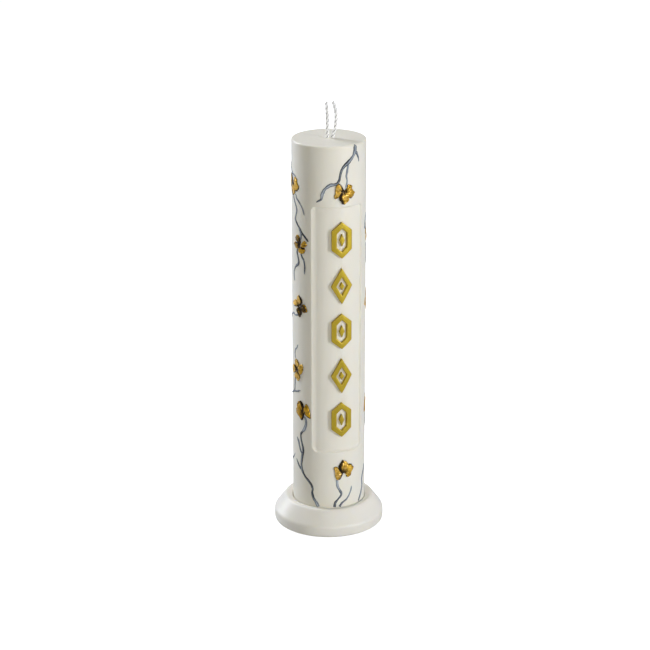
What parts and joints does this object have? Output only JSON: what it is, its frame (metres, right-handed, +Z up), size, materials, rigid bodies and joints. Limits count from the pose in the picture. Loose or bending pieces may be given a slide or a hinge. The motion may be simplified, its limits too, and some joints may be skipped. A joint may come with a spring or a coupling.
{
  "type": "unity candle",
  "caption": "Tall round pillar candle with twisted wicks in a low round foot, decorated with a sunken panel of gilt ornaments and gilt flowers on painted twigs.",
  "frame": {"origin": "centre of the foot's flat underside", "axes": "+Z up along the candle's axis; the sunken panel faces -Y, turned 16 degrees towards +X"},
  "size_m": [0.076, 0.076, 0.299],
  "materials": {
    "candle_wax": "ivory wax, semi-gloss, slightly translucent",
    "foot_wax": "ivory wax, semi-gloss, smooth cast surface",
    "wick_cotton": "white twisted cotton, lightly waxed",
    "clip_steel": "thin tinned steel",
    "ornament_gilt": "gold leaf on flat wax, satin metallic",
    "flower_gilt": "gold paint on modelled wax, brown in the folds, metallic",
    "twig_paint": "slate blue paint on thin wax threads, matte"
  },
  "bodies": {
    "holder": {"foot": "foot_wax"},
    "candle": {"candle_body": "candle_wax", "flower_back_1": "flower_gilt", "flower_back_10": "flower_gilt", "flower_back_2": "flower_gilt", "flower_back_3": "flower_gilt", "flower_back_4": "flower_gilt", "flower_back_5": "flower_gilt", "flower_back_6": "flower_gilt", "flower_back_7": "flower_gilt", "flower_back_8": "flower_gilt", "flower_back_9": "flower_gilt", "flower_front_bottom": "flower_gilt", "flower_front_top": "flower_gilt", "flower_left_1": "flower_gilt", "flower_left_2": "flower_gilt", "flower_left_3": "flower_gilt", "flower_left_4": "flower_gilt", "flower_left_5": "flower_gilt", "flower_right_1": "flower_gilt", "flower_right_2": "flower_gilt", "flower_right_3": "flower_gilt", "flower_right_4": "flower_gilt", "flower_right_5": "flower_gilt", "ornament_1_frame": "ornament_gilt", "ornament_1_lozenge": "ornament_gilt", "ornament_2_frame": "ornament_gilt", "ornament_2_lozenge": "ornament_gilt", "ornament_3_frame": "ornament_gilt", "ornament_3_lozenge": "ornament_gilt", "ornament_4_frame": "ornament_gilt", "ornament_4_lozenge": "ornament_gilt", "ornament_5_frame": "ornament_gilt", "ornament_5_lozenge": "ornament_gilt", "twig_back_1": "twig_paint", "twig_back_2": "twig_paint", "twig_back_3": "twig_paint", "twig_back_4": "twig_paint", "twig_front_bottom_a": "twig_paint", "twig_front_bottom_b": "twig_paint", "twig_front_top": "twig_paint", "twig_left_1": "twig_paint", "twig_left_1b": "twig_paint", "twig_left_2a": "twig_paint", "twig_left_2b": "twig_paint", "twig_left_3": "twig_paint", "twig_left_4a": "twig_paint", "twig_left_4b": "twig_paint", "twig_left_5": "twig_paint", "twig_left_6": "twig_paint", "twig_left_crown": "twig_paint", "twig_right_1": "twig_paint", "twig_right_2": "twig_paint", "twig_right_3": "twig_paint", "twig_right_4": "twig_paint", "twig_right_bottom": "twig_paint", "wick_clip": "clip_steel", "wick_left": "wick_cotton", "wick_right": "wick_cotton"}
  },
  "joints": [
    {"name": "candle_lift", "type": "slide", "parent": "holder", "child": "candle", "axis": [0, 0, 1], "range_m": [0, 0.04]}
  ]
}
